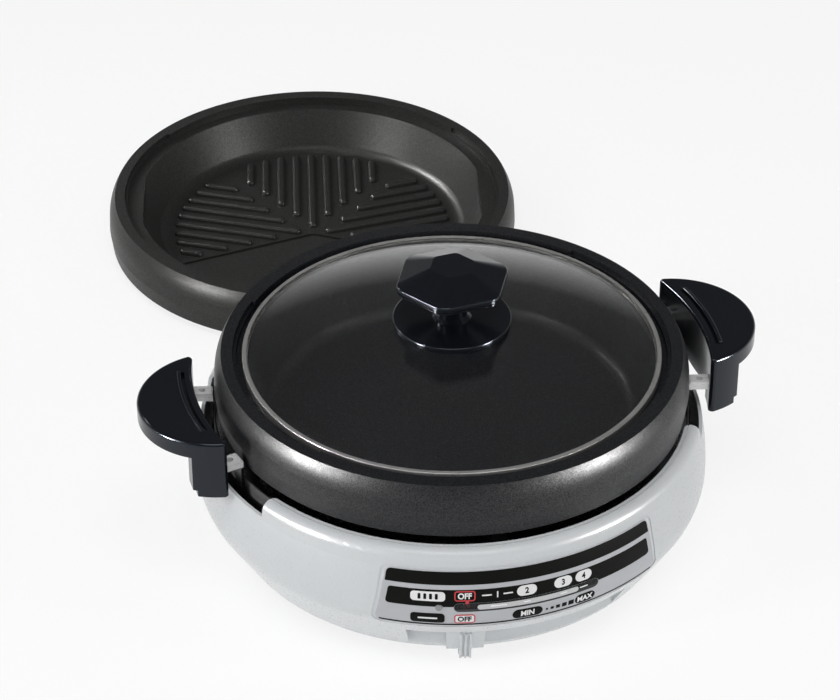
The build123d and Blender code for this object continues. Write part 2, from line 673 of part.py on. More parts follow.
def lever_tab():
    """The slider: a wedge that fills the recess and a finned grip that comes up from the arm."""
    wedge = region(Polyline(
        (SLIDER_R, SHIELD_BOTTOM_Z),
        (SLIDER_R + SHIELD_FOOT_THICK, SHIELD_BOTTOM_Z),
        (SLIDER_R + SHIELD_HEAD_THICK, RECESS_TOP_Z - SLIDE_GAP),
        (SLIDER_R, RECESS_TOP_Z - SLIDE_GAP),
        close=True,
    ))
    shield = Rot(0, 0, -90.0 - SHIELD_ANGLE) * revolve(Plane.XZ * wedge, Axis.Z, 2 * SHIELD_ANGLE)
    side = make_face(Polyline(
        (SLIDER_R, LEVER_ARM_Z),
        (TAB_FOOT_R, LEVER_ARM_Z),
        (TAB_HEAD_R, TAB_TOP_Z),
        (SLIDER_R, TAB_TOP_Z),
        close=True,
    ))
    grip = extrude(Plane.XZ * side, TAB_WIDTH / 2, both=True)
    front = make_face(Polyline(
        (TAB_FOOT_R - FIN_DEPTH, LEVER_ARM_Z),
        (TAB_FOOT_R + FIN_DEPTH, LEVER_ARM_Z),
        (TAB_HEAD_R + FIN_DEPTH, TAB_TOP_Z),
        (TAB_HEAD_R - FIN_DEPTH, TAB_TOP_Z),
        close=True,
    ))
    pitch = TAB_WIDTH / (2 * FIN_COUNT - 1)
    furrow = extrude(Plane.XZ * front, pitch / 2, both=True)
    for index in range(FIN_COUNT - 1):
        grip -= Pos(0, (2 * index + 1.5) * pitch - TAB_WIDTH / 2, 0) * furrow
    return facing(LEVER_AZIMUTH) * (shield + Rot(0, 0, -90.0) * grip)


def pointer():
    """A bent strip that carries the pointer's flag up behind the window."""
    riser_r = guard_radius(POINTER_LINK_Z) - GUARD_WALL - POINTER_CLEAR
    flag_r = GUARD_BELLY_R - GUARD_WALL - POINTER_CLEAR
    flag_low = WINDOW_Z - WINDOW_HEIGHT / 2
    flag_top = WINDOW_Z + WINDOW_HEIGHT / 2
    side = Polyline(
        (POINTER_ROOT_R, POINTER_ARM_TOP),
        (POINTER_ROOT_R + POINTER_THICK, POINTER_ARM_TOP),
        (POINTER_ROOT_R + POINTER_THICK, POINTER_LINK_Z),
        (riser_r, POINTER_LINK_Z),
        (riser_r, flag_low),
        (flag_r, flag_low),
        (flag_r, flag_top),
        (riser_r - POINTER_THICK, flag_top),
        (riser_r - POINTER_THICK, POINTER_LINK_Z + POINTER_THICK),
        (POINTER_ROOT_R, POINTER_LINK_Z + POINTER_THICK),
        close=True,
    )
    strip = extrude(Plane.XZ * make_face(side), POINTER_WIDTH / 2, both=True)
    return facing(LEVER_AZIMUTH - 90.0) * strip


def power_inlet():
    width = INLET_WIDTH - 2 * INLET_WALL
    height = INLET_HEIGHT - 2 * INLET_WALL
    middle = Pos(0, INLET_REAR_Y - INLET_CAVITY / 2, INLET_Z)
    return inlet_block(0.0, INLET_REAR_Y) - middle * Box(width, INLET_CAVITY, height) - pins(PIN_R)


def pins(radius):
    length = INLET_DEPTH - INLET_WALL + PIN_TAIL
    pair = []
    for side in (-1, 1):
        foot_place = Plane((side * PIN_SPACING / 2, INLET_BACK_Y - PIN_TAIL, INLET_Z), z_dir=(0, 1, 0))
        pair.append(extrude(foot_place * Circle(radius), length))
    return pair


def lead(points):
    path = FilletPolyline(*points, radius=LEAD_BEND_R)
    start = Plane(path @ 0, z_dir=path % 0)
    return sweep(start * Circle(LEAD_R), path)


def inner_leads():
    """Inlet to left heater leg, inlet to thermostat, thermostat to right heater leg."""
    right, left = [place.position for place in heater_legs_xy()]
    tail_y = INLET_BACK_Y - PIN_TAIL
    pin_x = PIN_SPACING / 2
    low = HEATER_END_Z - LEAD_DROP
    box_y = THERMOSTAT_Y / 2
    box_z = CASE_FLOOR_Z - THERMOSTAT_HEIGHT / 2
    run = 4 * LEAD_BEND_R
    return {
        "lead_live": lead([
            (-pin_x, tail_y, INLET_Z),
            (-pin_x, tail_y - run, INLET_Z),
            (left.X, left.Y + run, low),
            (left.X, left.Y, low),
            (left.X, left.Y, HEATER_END_Z),
        ]),
        "lead_neutral": lead([
            (pin_x, tail_y, INLET_Z),
            (pin_x, tail_y - run, INLET_Z),
            (pin_x, box_y + run, box_z),
            (pin_x, box_y, box_z),
        ]),
        "lead_switched": lead([
            (pin_x + run / 2, box_y, box_z),
            (pin_x + run / 2, box_y + run, box_z),
            (right.X, right.Y - run, low),
            (right.X, right.Y, low),
            (right.X, right.Y, HEATER_END_Z),
        ]),
    }


HANDLE_TIP_X = math.sqrt(HANDLE_INNER_R**2 - HANDLE_HALF_LENGTH**2)
HANDLE_BULGE = HANDLE_REACH - HANDLE_TIP_X
HANDLE_OUTER_R = (HANDLE_BULGE**2 + HANDLE_HALF_LENGTH**2) / (2 * HANDLE_BULGE)
HANDLE_CENTRE_X = HANDLE_REACH - HANDLE_OUTER_R


def crescent(inset):
    """The handle's plan, drawn in from its edge."""
    outer = Pos(HANDLE_CENTRE_X, 0) * Circle(HANDLE_OUTER_R - inset)
    return outer - Circle(HANDLE_INNER_R + inset)


def strap():
    """A bent strip with two flanges: up the outside of the case and out into the handle."""
    side = make_face(Polyline(
        (CASE_R, STRAP_FOOT_Z),
        (CASE_R + STRAP_THICK, STRAP_FOOT_Z),
        (CASE_R + STRAP_THICK, STRAP_LOW_Z),
        (STRAP_END_R, STRAP_LOW_Z),
        (STRAP_END_R, STRAP_TOP_Z),
        (CASE_R, STRAP_TOP_Z),
        close=True,
    ))
    bend = side.vertices().sort_by_distance(Vector(CASE_R, STRAP_TOP_Z, 0))[:1]
    bar = extrude(Plane.XZ * fillet(bend, STRAP_THICK), STRAP_WIDTH / 2, both=True)
    length = HANDLE_INNER_R - BODY_GAP - CASE_R - STRAP_THICK
    flange = block(length, FLANGE_THICK, STRAP_LOW_Z - FLANGE_DEPTH, STRAP_LOW_Z)
    for sign in (-1, 1):
        bar += Pos(CASE_R + STRAP_THICK + length / 2, sign * (STRAP_WIDTH - FLANGE_THICK) / 2, 0) * flange
    hole = Pos(STRAP_HOLE_PLACE_R, 0, 0) * disc(STRAP_HOLE_R, STRAP_FOOT_Z, HANDLE_TOP_Z)
    screw = Pos(HANDLE_SCREW_PLACE_R, 0, 0) * disc(SCREW_R + SEAT_GAP, STRAP_FOOT_Z, HANDLE_TOP_Z)
    return bar - hole - screw


def strap_socket():
    """What one strap and its screw take out of the handle."""
    length = STRAP_END_R + SEAT_GAP - CASE_R
    slot = block(length, STRAP_WIDTH + 2 * SEAT_GAP, STRAP_LOW_Z - SEAT_GAP, STRAP_TOP_Z + SEAT_GAP)
    screw_top = HANDLE_SCREW_Z + HANDLE_SCREW_LENGTH
    bore = disc(SCREW_R, HANDLE_SCREW_Z, screw_top) + disc(SCREW_HEAD_R + SEAT_GAP, 0, HANDLE_SCREW_Z)
    return Pos(CASE_R + length / 2, 0, 0) * slot + Pos(HANDLE_SCREW_PLACE_R, 0, 0) * bore


def handle():
    """The right handle: a hollow crescent on two legs, with a skirt towards the pan."""
    outline = crescent(0.0)
    outline = fillet(outline.vertices().group_by(Axis.X)[0], HANDLE_TIP_ROUND)
    low = HANDLE_LOW_Z
    top = Pos(0, 0, low) * extrude(outline, HANDLE_THICK)
    top = fillet(top.edges().group_by(Axis.Z)[-1], HANDLE_ROUND)
    hollow = Pos(0, 0, low) * extrude(crescent(HANDLE_SIDE_WALL), HANDLE_THICK - HANDLE_SKIN)
    reach = Pos(HANDLE_INNER_R, 0, 0)
    top -= hollow & (reach * block(2 * HANDLE_REACH, 2 * LEG_INNER_Y, low, HANDLE_TOP_Z))
    legs = Pos(0, 0, LEG_BOTTOM_Z) * extrude(outline, low - LEG_BOTTOM_Z)
    legs -= reach * block(2 * HANDLE_REACH, 2 * LEG_INNER_Y, LEG_BOTTOM_Z, low)
    outside = Pos(LEG_OUTER_X + HANDLE_REACH / 2, 0, 0)
    legs -= outside * block(HANDLE_REACH, 2 * HANDLE_REACH, LEG_BOTTOM_Z, low)
    step = Pos(-LEG_STEP, 0, 0) * outside
    legs -= step * block(HANDLE_REACH, 2 * HANDLE_REACH, LEG_BOTTOM_Z, LEG_BOTTOM_Z + LEG_STEP_RISE)
    skirt = tube(HANDLE_INNER_R + SKIRT_THICK, HANDLE_INNER_R, low - SKIRT_DROP, low)
    end = Vector(LEG_INNER_Y, low - SKIRT_END_DROP)
    start = Vector(-LEG_INNER_Y, low - SKIRT_END_DROP)
    front = region(
        Line((-LEG_INNER_Y, low), start),
        ThreePointArc(start, (0, low - SKIRT_DROP), end),
        Line(end, (LEG_INNER_Y, low)),
        Line((LEG_INNER_Y, low), (-LEG_INNER_Y, low)),
    )
    piece = top + legs + (skirt & extrude(Plane.YZ * front, HANDLE_REACH))
    groove_low = HANDLE_TOP_Z - GROOVE_DEPTH
    span = (90.0 - GROOVE_ANGLE, 90.0 + GROOVE_ANGLE)
    groove_end = GROOVE_R + GROOVE_WIDTH
    piece -= sector(GROOVE_R, groove_end, groove_low, HANDLE_TOP_Z, *span)
    rib = sector(groove_end, groove_end + RIB_WIDTH, groove_low, HANDLE_TOP_Z + RIB_RISE, *span)
    piece += fillet(rib.edges().group_by(Axis.Z)[-1], RIB_RISE)
    for angle in (-STRAP_ANGLE, STRAP_ANGLE):
        piece -= Rot(0, 0, angle) * strap_socket()
    return piece


def handle_screws():
    head = disc(SCREW_HEAD_R, HANDLE_SCREW_Z - SCREW_HEAD_THICK, HANDLE_SCREW_Z)
    screw = head + disc(SCREW_R, HANDLE_SCREW_Z, HANDLE_SCREW_Z + HANDLE_SCREW_LENGTH)
    group = []
    for side in HANDLE_SIDES.values():
        for angle in (-STRAP_ANGLE, STRAP_ANGLE):
            group.append(Rot(0, 0, side + angle) * Pos(HANDLE_SCREW_PLACE_R, 0, 0) * screw)
    return group


def pan_form(rim_z, bottom_z, floor_thick, floor_r):
    """A pan with the shared rim: a curled band outside, a lid ledge inside and two flat side walls."""
    floor_z = bottom_z + floor_thick
    ledge_z = rim_z - LEDGE_DROP
    crease = (BAND_R, rim_z - CREASE_DROP)
    bulge = (BAND_BULGE_R, rim_z - BAND_BULGE_DROP)
    edge = (RIM_OUTER_R, rim_z)
    face_up = Vector(*bulge) - Vector(*crease)
    low = rim_z - BAND_DROP
    foot_r = floor_r + PAN_WALL
    under = rim_z - LEDGE_DROP - PAN_WALL
    band_inner = (BAND_R - BAND_WALL, rim_z - CREASE_DROP)
    face = region(
        Line((0, bottom_z), (foot_r, bottom_z)),
        Line((foot_r, bottom_z), (LEDGE_INNER_R + PAN_WALL, under)),
        Line((LEDGE_INNER_R + PAN_WALL, under), (RIM_INNER_R + RIM_STEP, under)),
        Line((RIM_INNER_R + RIM_STEP, under), (RIM_OUTER_R - BAND_WALL, rim_z - PAN_WALL)),
        Line((RIM_OUTER_R - BAND_WALL, rim_z - PAN_WALL), band_inner),
        Line(band_inner, (BAND_BOTTOM_R - BAND_WALL, low)),
        Line((BAND_BOTTOM_R - BAND_WALL, low), (BAND_BOTTOM_R, low)),
        Line((BAND_BOTTOM_R, low), crease),
        Line(crease, bulge),
        TangentArc(bulge, edge, tangent=face_up),
        Line(edge, (0, rim_z)),
        Line((0, rim_z), (0, bottom_z)),
    )
    foot_corner = face.vertices().sort_by_distance(Vector(foot_r, bottom_z, 0))[:1]
    pan = spin(fillet(foot_corner, PAN_ROUND))
    pan -= disc(RIM_INNER_R, ledge_z, rim_z)
    step_low = rim_z - RIM_STEP_DEPTH
    for middle in (90.0, 270.0):
        pan -= sector(RIM_INNER_R / 2, RIM_INNER_R + RIM_STEP, step_low, rim_z,
                      middle - RIM_STEP_ANGLE, middle + RIM_STEP_ANGLE)
    bowl = region(Polyline(
        (0, floor_z),
        (floor_r, floor_z),
        (LEDGE_INNER_R, ledge_z),
        (0, ledge_z),
        close=True,
    ))
    floor_corner = bowl.vertices().sort_by_distance(Vector(floor_r, floor_z, 0))[:1]
    cavity = spin(fillet(floor_corner, PAN_ROUND))
    slab = make_face(Polyline(
        (-PAN_FLAT_X + PAN_FLAT_TAPER, floor_z),
        (PAN_FLAT_X - PAN_FLAT_TAPER, floor_z),
        (PAN_FLAT_X, ledge_z),
        (-PAN_FLAT_X, ledge_z),
        close=True,
    ))
    return pan - (cavity & extrude(Plane.XZ * slab, BAND_R, both=True))


def ridges(fan, floor_z):
    """One fan of rounded ridges, as many as fit between its corner and the wall."""
    heading = math.radians(fan)
    along = Vector(math.cos(heading), math.sin(heading))
    across = Vector(-math.sin(heading), math.cos(heading))
    bars = []
    most = int((RIDGE_END_R + RIDGE_APEX_Y) / RIDGE_PITCH)
    for index in range(-most, most + 1):
        offset = index * RIDGE_PITCH
        root = Vector(0, RIDGE_APEX_Y) + across * offset
        start = RIDGE_START + abs(offset) / math.tan(math.radians(RIDGE_HALF_ANGLE))
        forward = root.dot(along)
        reach = forward**2 - root.dot(root) + RIDGE_END_R**2
        stop = math.sqrt(reach) - forward
        if stop - start > RIDGE_SHORTEST:
            middle = root + along * ((start + stop) / 2)
            bar = extrude(SlotOverall(stop - start, RIDGE_WIDTH), RIDGE_HEIGHT)
            bar = fillet(bar.edges().group_by(Axis.Z)[-1], RIDGE_ROUND)
            bars.append(Pos(middle.X, middle.Y, floor_z) * Rot(0, 0, fan) * bar)
    return bars


def divider(side, floor_z):
    """A groove from the fans' common corner out to the wall."""
    heading = 90.0 + side * (RIDGE_FAN_ANGLE + RIDGE_HALF_ANGLE)
    length = RIDGE_END_R - RIDGE_APEX_Y
    slot = Pos(length / 2, 0, 0) * extrude(SlotOverall(length, DIVIDER_WIDTH), 2 * DIVIDER_DEPTH)
    return Pos(0, RIDGE_APEX_Y, floor_z - DIVIDER_DEPTH) * Rot(0, 0, heading) * slot


def grill_pan():
    floor_z = GRILL_FLOOR_THICK
    pan = pan_form(GRILL_HEIGHT, 0.0, GRILL_FLOOR_THICK, GRILL_FLOOR_R)
    pan -= [divider(-1, floor_z), divider(1, floor_z)]
    bars = []
    for fan in (90.0, 90.0 - RIDGE_FAN_ANGLE, 90.0 + RIDGE_FAN_ANGLE):
        bars += ridges(fan, floor_z)
    return Pos(0, GRILL_BEHIND, 0) * Rot(0, 0, GRILL_TURN) * (pan + bars)


def glass_drop(radius):
    """How far the dome falls below its apex."""
    return GLASS_SPHERE_R - math.sqrt(GLASS_SPHERE_R**2 - radius**2)


def lid_glass():
    half = GLASS_DOME_R / 2
    half_z = GLASS_APEX - glass_drop(half)
    top_hole = (GLASS_HOLE_R, GLASS_APEX - glass_drop(GLASS_HOLE_R))
    low_hole = (GLASS_HOLE_R, top_hole[1] - GLASS_THICK)
    face = region(
        Line((GLASS_DOME_R, GLASS_LOW), (GLASS_EDGE_R, GLASS_LOW)),
        Line((GLASS_EDGE_R, GLASS_LOW), (GLASS_EDGE_R, GLASS_EDGE_TOP)),
        Line((GLASS_EDGE_R, GLASS_EDGE_TOP), (GLASS_DOME_R, GLASS_EDGE_TOP)),
        ThreePointArc((GLASS_DOME_R, GLASS_EDGE_TOP), (half, half_z), top_hole),
        Line(top_hole, low_hole),
        ThreePointArc(low_hole, (half, half_z - GLASS_THICK), (GLASS_DOME_R, GLASS_LOW)),
    )
    return spin(face)


def lid_rim():
    inner = LID_RIM_R - LID_RIM_WIDTH
    top = GLASS_EDGE_TOP + SEAT_GAP
    face = region(Polyline(
        (LID_RIM_R - LID_FLANGE, LID_SEAT_Z),
        (LID_RIM_R, LID_SEAT_Z),
        (LID_RIM_R, top + LID_SHEET),
        (inner, top + LID_SHEET),
        (inner, top),
        (LID_RIM_R - LID_SHEET, top),
        (LID_RIM_R - LID_SHEET, LID_SEAT_Z + LID_SHEET),
        (LID_RIM_R - LID_FLANGE, LID_SEAT_Z + LID_SHEET),
        close=True,
    ))
    outer_corner = face.vertices().sort_by_distance(Vector(LID_RIM_R, top + LID_SHEET, 0))[:1]
    return spin(fillet(outer_corner, LID_SHEET))


WASHER_TOP = GLASS_APEX - GLASS_THICK - glass_drop(WASHER_R)
SCREW_HEAD_TOP = WASHER_TOP - WASHER_THICK


def knob_base():
    """A disc with a flat top and an underside that follows the dome."""
    half = KNOB_DISC_R / 2
    top = (KNOB_DISC_R, KNOB_DISC_TOP_Z)
    low = (KNOB_DISC_R, KNOB_DISC_LOW - glass_drop(KNOB_DISC_R))
    plate = spin(region(
        Line((0, KNOB_DISC_LOW), (0, KNOB_DISC_TOP_Z)),
        Line((0, KNOB_DISC_TOP_Z), top),
        Line(top, low),
        ThreePointArc(low, (half, KNOB_DISC_LOW - glass_drop(half)), (0, KNOB_DISC_LOW)),
    ))
    plate = fillet(plate.edges().filter_by(lambda edge: edge.is_closed), KNOB_DISC_ROUND)
    return plate - disc(KNOB_SCREW_R + SEAT_GAP, 0, KNOB_TOP_Z)


def lid_knob():
    """A six-sided grip with a faceted top on a flared neck."""
    rim = Pos(0, 0, KNOB_EDGE_Z)
    hexagon = RegularPolygon(KNOB_CORNER_R, 6)
    hexagon = fillet(hexagon.vertices(), KNOB_CORNER_ROUND)
    plateau = RegularPolygon(KNOB_PLATEAU_R, 6)
    plateau = fillet(plateau.vertices(), KNOB_CORNER_ROUND * KNOB_PLATEAU_R / KNOB_CORNER_R)
    grip = rim * extrude(hexagon, KNOB_EDGE_THICK)
    grip += loft([Pos(0, 0, KNOB_EDGE_TOP_Z) * hexagon, Pos(0, 0, KNOB_TOP_Z) * plateau])
    level = grip.edges().filter_by(Plane.XY).group_by(Axis.Z)
    grip = fillet(level[0] + level[1], KNOB_EDGE_ROUND)
    seam = offset(hexagon, CUT_OVER) - offset(hexagon, -KNOB_SEAM)
    grip -= Pos(0, 0, KNOB_SEAM_Z) * extrude(seam, KNOB_SEAM)
    low = KNOB_DISC_TOP_Z
    neck = lathe(
        (0, low),
        (KNOB_FOOT_R, low),
        (KNOB_NECK_R, low + KNOB_FOOT_R - KNOB_NECK_R),
        (KNOB_NECK_R, KNOB_FLARE_Z - (KNOB_FLARE_R - KNOB_NECK_R)),
        (KNOB_FLARE_R, KNOB_FLARE_Z),
        (KNOB_FLARE_R + KNOB_EDGE_Z - KNOB_FLARE_Z, KNOB_EDGE_Z),
        (0, KNOB_EDGE_Z),
    )
    return Rot(0, 0, KNOB_TURN) * (grip + neck - disc(KNOB_SCREW_R, 0, KNOB_SCREW_TOP))


def knob_screw():
    head = disc(KNOB_SCREW_HEAD_R, SCREW_HEAD_TOP - KNOB_SCREW_HEAD_THICK, SCREW_HEAD_TOP)
    return head + disc(KNOB_SCREW_R, SCREW_HEAD_TOP, KNOB_SCREW_TOP)


def knob_washer():
    return tube(WASHER_R, KNOB_SCREW_R + SEAT_GAP, SCREW_HEAD_TOP, WASHER_TOP)


def assembly():
    """Every node by name; a list is a group of like solids."""
    nodes = {
        "body_guard": body_guard(),
        "control_panel": control_panel(),
        "indicator_window": indicator_window(),
        "pilot_lamp": pilot_lamp(),
        "bottom_plate": bottom_plate(),
        "case_posts": posts(),
        "bottom_screws": bottom_screws(),
        "inner_case": inner_case(),
        "reflector": reflector(),
        "heater": heater(),
        "heater_insulators": insulators(),
        "sensor_sleeve": sensor_sleeve(),
        "sensor_spring": sensor_spring(),
        "sensor_button": sensor_button(),
        "thermostat": thermostat(),
        "shaft_clip": shaft_clip(),
        "lever_shaft": lever_shaft(),
        "lever_arm": arm(LEVER_ARM_Z, SLIDER_R),
        "lever_tab": lever_tab(),
        "pointer_arm": arm(POINTER_ARM_Z, POINTER_ROOT_R + POINTER_THICK),
        "pointer": pointer(),
        "power_inlet": power_inlet(),
        "inlet_pins": pins(PIN_R),
        "handle_screws": handle_screws(),
        "deep_pan": pan_form(PAN_RIM_Z, PAN_BOTTOM_Z, PAN_FLOOR_THICK, PAN_FLOOR_R),
        "grill_pan": grill_pan(),
        "lid_glass": lid_glass(),
        "lid_rim": lid_rim(),
        "knob_base": knob_base(),
        "lid_knob": lid_knob(),
        "knob_screw": knob_screw(),
        "knob_washer": knob_washer(),
    }
    nodes.update(inner_leads())
    pad = foot()
    for number, place in enumerate(around(FOOT_RING_R, CORNER_ANGLES), 1):
        nodes[f"foot_{number}"] = place * pad
    for index in range(BRACKET_COUNT):
        nodes[f"heater_bracket_{index + 1}"] = heater_bracket(index)
    grip = handle()
    bar = strap()
    for name, turn in HANDLE_SIDES.items():
        nodes[f"handle_{name}"] = Rot(0, 0, turn) * grip
        for end, angle in (("a", -STRAP_ANGLE), ("b", STRAP_ANGLE)):
            nodes[f"strap_{name}_{end}"] = Rot(0, 0, turn + angle) * bar
    return nodes


def main():
    os.makedirs("parts", exist_ok=True)
    for name, shape in assembly().items():
        solids = shape if isinstance(shape, list) else [shape]
        solids = [solid for item in solids for solid in item.solids()]
        whole = solids[0] if len(solids) == 1 else Compound(solids)
        export_step(whole, os.path.join("parts", f"{name}.step"))


main()
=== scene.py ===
import json
import math

import bmesh
import bpy
from mathutils import Matrix, Vector


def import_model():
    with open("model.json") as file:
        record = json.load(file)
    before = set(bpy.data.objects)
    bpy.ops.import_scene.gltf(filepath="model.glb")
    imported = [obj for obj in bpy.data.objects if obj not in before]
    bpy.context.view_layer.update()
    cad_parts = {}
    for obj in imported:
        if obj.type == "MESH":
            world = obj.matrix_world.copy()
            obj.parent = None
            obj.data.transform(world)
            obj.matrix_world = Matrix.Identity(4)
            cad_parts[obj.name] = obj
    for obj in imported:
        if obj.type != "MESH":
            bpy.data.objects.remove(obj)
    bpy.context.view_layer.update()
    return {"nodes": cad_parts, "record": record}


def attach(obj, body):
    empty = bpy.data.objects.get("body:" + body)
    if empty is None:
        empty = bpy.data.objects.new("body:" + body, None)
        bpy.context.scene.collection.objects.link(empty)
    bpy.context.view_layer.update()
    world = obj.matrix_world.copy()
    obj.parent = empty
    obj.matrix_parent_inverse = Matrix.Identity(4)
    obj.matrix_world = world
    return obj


# An electric skillet on a pale floor, in metres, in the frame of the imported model.
# Places on the control panel are in millimetres: sideways from its middle, and height.

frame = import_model()
nodes = frame["nodes"]

MM = 0.001
MICRON = 0.000001

# Panel face, window and lamp, as the solids have them
BELLY_R = 188.3
BELLY_Z = 58.0
ARC_BELOW = 33.506
ARC_ABOVE = 158.07
PANEL_PROUD = 0.3
PANEL_TOP_Z = 93.0
PANEL_LOW_Z = 46.5
PANEL_TOP_X = 95.08
PANEL_LOW_X = 103.65
WINDOW_Z = 63.7
WINDOW_HEIGHT = 7.0
WINDOW_HALF = 52.53
LAMP_R = 2.4
LAMP_X = -62.55
LAMP_Z = 63.7

# Printed film: its layers, and the grid that bends it round the panel
PRINT_LIFT = 0.07
PRINT_SINK = 0.05
ON_BAND = 2 * PRINT_LIFT
ON_PILL = 3 * PRINT_LIFT
GRID_STEP = 2.5
MERGE = 0.001
SLIVER = 0.0005
PILL_EASE = 0.01
CUT_EDGE = 0.3

# Black bands: low and high edge, distance from the panel's sides, corners
UPPER_BAND = (82.4, 92.5)
UPPER_BAND_INSET = 0.7
UPPER_BAND_CORNERS = (0.6, 0.6, 4.4, 4.4)
LOWER_BAND = (64.5, 78.6)
LOWER_BAND_INSET = 3.4
LOWER_BAND_CORNER = 2.6
FOOT_LINE = (47.0, 48.7)
FOOT_LINE_INSET = 3.2
FOOT_LINE_CORNER = 0.5

# Two rows of marks: pairs are left and right ends, and X is a middle
UPPER_ROW = 73.5
LOWER_ROW = 53.6
ROW_HEIGHT = 8.4
LETTER = 5.0
LETTER_NARROW = 0.85
LETTER_BOLD = 0.035
FRAME_LINE = 0.9
FRAME_CORNER = 2.2
OFF_SPAN = (-53.1, -38.4)
OFF_PILL = (-53.0, -38.4)
OFF_X = -45.8
POINTER_SPAN = (-45.3, -42.9)
POINTER_Z = 68.2
POINTER_HEIGHT = 2.2
SHARP_CORNER = 0.2
FIRST_HEAT_X = -23.0
FIRST_HEAT_DASHES = ((-34.0, -27.0), (-19.0, -12.1))
FIRST_HEAT_DASH = 1.1
HEAT_PILLS = ((-9.3, 5.2), (18.1, 31.8), (34.5, 47.6))
HEAT_XS = {"2": -2.0, "3": 25.0, "4": 41.0}
LEAST_PILL = (-12.3, 9.7)
LEAST_X = -1.3
MOST_PILL = (34.5, 50.7)
MOST_X = 42.6

# Growing squares from least to most: middle and size
STEP_SQUARES = ((12.9, 1.7), (16.9, 2.4), (21.3, 3.0), (26.2, 3.6), (31.5, 4.2))
STEP_DROP = 0.4

# Marks for the two plates at the left: ridges above, a flat floor below
RIDGED_PILL = (-83.6, -59.4)
RIDGED_Z = 73.0
RIDGED_HEIGHT = 7.8
RIDGED_CORNER = 2.6
RIDGE_XS = (-77.5, -73.5, -69.5, -65.5)
RIDGE_HALF = 1.0
RIDGE_HEIGHT = 4.6
RIDGE_CORNER = 0.6
FLAT_PILL = (-83.6, -59.6)
FLAT_Z = 54.2
FLAT_HEIGHT = 9.0
FLAT_CORNER = 2.8
FLAT_LINE = (-78.5, -64.7)
FLAT_LINE_HEIGHT = 1.5

# Printing on the window
WINDOW_BAR = (-37.0, 37.0)
WINDOW_BAR_HEIGHT = 4.2
WINDOW_DASHES = ((-27.8, -16.1), (-4.3, 0.7), (22.8, 28.0), (37.9, 44.4))
WINDOW_DASH_HEIGHT = 1.0
WINDOW_DASH_RISE = 0.3

# Height, in metres, below which the handle straps get painted shade: they are black where they lie in
# shadow against the case, and the shade has a soft edge
STRAP_SHADE_Z = 0.1128
SHADE_EDGE = 0.0004

# Noise scales, per metre
PLASTIC_CLOUD = 14.0
METAL_CLOUD = 30.0
METAL_GRAIN = 700.0
COATING_FLAKES = 1900.0
COATING_SKIN = 1100.0
GLASS_SMEAR = 25.0
FILM_CLOUD = 300.0

# Values that count as a noise's low and high end
NOISE_LOW = 0.3
NOISE_HIGH = 0.7

# Roughness at those ends, as shares of the look's own
PLASTIC_GLOSS = (0.85, 1.2)
METAL_GLOSS = (0.7, 1.4)
COATING_GLOSS = (0.85, 1.18)
GLASS_GLOSS = (1.0, 2.5)
FILM_GLOSS = (0.8, 1.3)

# Scale of a grain along X, Y and Z: a small one draws it out into lines
EVEN = (1.0, 1.0, 1.0)
DRAWN = (0.05, 1.0, 1.0)
SPUN = (1.0, 1.0, 0.1)

# Bumps, and what else sets a look apart
METAL_BUMP = 0.35
COATING_BUMP = 0.3
DRAWN_DEPTH = 6 * MICRON
COATING_DEPTH = 50 * MICRON
COAT_ROUGH = 0.05
STRAP_METALLIC = 0.15
COATING_METALLIC = 0.08
COATING_TINT = (1.0, 0.985, 0.97, 1.0)
FLAKE_SHADE = 1.3
FLAKE_GLEAM = (0.5, 1.5)

# World: even light, and a seen sky that is white at the horizon and dim above it
DIFFUSE_SKY = 0.35
SKY_DARK = 0.15
SKY_WHITE_TO = 0.0
SKY_DARK_FROM = 0.3

# Floor
FLOOR_HALF = 6.0
FLOOR_DROP = 0.0004
FLOOR_COLOUR = (0.97, 0.97, 0.97, 1.0)
FLOOR_ROUGH = 0.8
FLOOR_WHITE = 0.8

# Lamps: what they point at, their sizes, and the beams that grids leave
UNIT_MIDDLE = (0.0, 0.0, 0.12)
UNIT_BACK = (0.0, 0.1, 0.1)
PAN_FRONT = (0.0, -0.1, 0.14)
PLATE_INSIDE = (0.0, 0.43, 0.03)
SIDE_BOX = (0.35, 0.6)
TOP_BOX = (1.6, 0.8)
GLOSS_BOX = (0.4, 0.4)
WIDE_GRID = math.radians(50.0)
NARROW_GRID = math.radians(26.0)

# The photo's camera, fitted to the round edges
IMAGE_WIDTH_PX = 840.0
FOCAL_PX = 3017.0
SENSOR_WIDTH = 36.0
CAMERA_PLACE = (-0.5287, -1.7206, 1.3924)
CAMERA_PITCH = math.radians(34.62)
CAMERA_HEADING = math.radians(-16.35)
CAMERA_REACH = 20.0


# Materials

